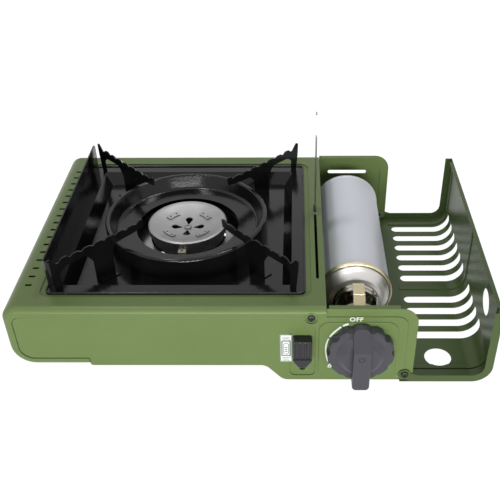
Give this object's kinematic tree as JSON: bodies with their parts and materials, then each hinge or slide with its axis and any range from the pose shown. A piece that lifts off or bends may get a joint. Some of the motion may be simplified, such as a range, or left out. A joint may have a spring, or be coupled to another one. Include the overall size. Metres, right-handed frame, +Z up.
{
  "type": "butane cassette stove",
  "caption": "Tabletop single-burner gas stove with lay-in butane cartridge, side lid, knob, clamp lever, drip pan with pot supports and swing-up pan guard.",
  "frame": {"origin": "centre of the bounding box on the table plane, with the lid open and the pan guard raised", "axes": "+X to the cartridge side, +Y to the back, away from the knob, +Z up"},
  "size_m": [0.4122, 0.2868, 0.185],
  "materials": {
    "green_paint": "semi-gloss leaf green paint",
    "green_paint_inside": "semi-gloss green paint, inner faces",
    "black_enamel": "gloss black vitreous enamel",
    "satin_steel": "satin stainless steel",
    "bright_steel": "bright plated steel",
    "zinc_steel": "zinc plated steel",
    "die_cast": "die-cast alloy",
    "brass_part": "brass",
    "gold_tin": "pale gold lacquered tinplate",
    "can_print": "silver-grey printed tinplate",
    "tinplate": "bright tinplate",
    "black_plastic": "dark grey moulded plastic",
    "grey_plastic": "dark grey moulded plastic, knob",
    "black_screw": "blackened steel",
    "rubber_foot": "black rubber",
    "ceramic": "ivory glazed ceramic",
    "lead_cover": "silicone sleeve"
  },
  "bodies": {
    "root": {"base_plate": "green_paint_inside", "blade_bracket": "zinc_steel", "blade_pin": "zinc_steel", "burner_bracket": "zinc_steel", "burner_cap": "satin_steel", "burner_cup": "satin_steel", "burner_gasket": "zinc_steel", "burner_screw": "bright_steel", "cap_bridges": "satin_steel", "cartridge_cradle": "green_paint_inside", "electrode_bracket": "zinc_steel", "electrode_ceramic": "ceramic", "electrode_wire": "zinc_steel", "front_panel": "green_paint", "gas_jet": "brass_part", "gas_pipe": "brass_part", "guide_tongue": "gold_tin", "hinge_nuts": "zinc_steel", "hinge_screws": "black_screw", "ignition_lead": "lead_cover", "inlet_nozzle": "brass_part", "inlet_seal": "rubber_foot", "lever_guides": "zinc_steel", "mixing_tube": "zinc_steel", "panel_screws": "black_screw", "partition_wall": "green_paint_inside", "piezo_unit": "black_plastic", "rear_panel": "green_paint", "reflector_dish": "bright_steel", "reflector_legs": "zinc_steel", "regulator_body": "die_cast", "regulator_bracket": "zinc_steel", "regulator_cover": "die_cast", "regulator_screws": "zinc_steel", "screw_bosses": "zinc_steel", "short_feet": "rubber_foot", "tall_feet": "rubber_foot", "top_shell": "green_paint"},
    "knob": {"control_knob": "grey_plastic", "knob_shaft": "brass_part", "ignition_cam": "black_plastic"},
    "plunger": {"piezo_plunger": "black_plastic"},
    "lever": {"lever_cap": "black_plastic", "lever_slide": "zinc_steel"},
    "pusher": {"pusher_slide": "zinc_steel"},
    "cartridge": {"cartridge_can": "can_print", "cartridge_seam": "gold_tin", "cartridge_dome": "tinplate", "cartridge_collar": "tinplate", "valve_cup": "tinplate", "valve_stem": "brass_part"},
    "lid": {"lid_shell": "green_paint_inside"},
    "blade": {"guard_blade": "bright_steel"},
    "pan": {"drip_pan": "black_enamel", "pot_support_with_wind_guard": "black_enamel", "pot_support_front_right": "black_enamel", "pot_support_rear_left": "black_enamel", "pot_support_rear_right": "black_enamel"}
  },
  "joints": [
    {"name": "lid_hinge", "type": "hinge", "parent": "root", "child": "lid", "pos_m": [0.13085, 0.01115, 0.0093], "axis": [0, 1, 0], "range_deg": [-90, 0]},
    {"name": "knob_turn", "type": "hinge", "parent": "root", "child": "knob", "pos_m": [0.09085, -0.11935, 0.041], "axis": [0, -1, 0], "range_deg": [0, 110]},
    {"name": "spark_plunger", "type": "slide", "parent": "root", "child": "plunger", "axis": [-1, 0, 0], "range_m": [0, 0.005]},
    {"name": "lever_slide", "type": "slide", "parent": "root", "child": "lever", "axis": [0, 0, 1], "range_m": [-0.014, 0]},
    {"name": "clamp_slide", "type": "slide", "parent": "root", "child": "pusher", "axis": [0, 1, 0], "range_m": [-0.006, 0]},
    {"name": "cartridge_lift", "type": "slide", "parent": "pusher", "child": "cartridge", "axis": [0.5, 0, 0.866], "range_m": [0, 0.12]},
    {"name": "blade_fold", "type": "hinge", "parent": "root", "child": "blade", "pos_m": [0.05535, 0.02965, 0.079], "axis": [-1, 0, 0], "range_deg": [-90, 0]},
    {"name": "pan_lift", "type": "slide", "parent": "root", "child": "pan", "axis": [0, 0, 1], "range_m": [0, 0.06]}
  ],
  "couplings": [
    {"joint": "spark_plunger", "follows": "knob_turn", "m_per_rad": 0.0026043},
    {"joint": "clamp_slide", "follows": "lever_slide", "ratio": 0.42857}
  ]
}
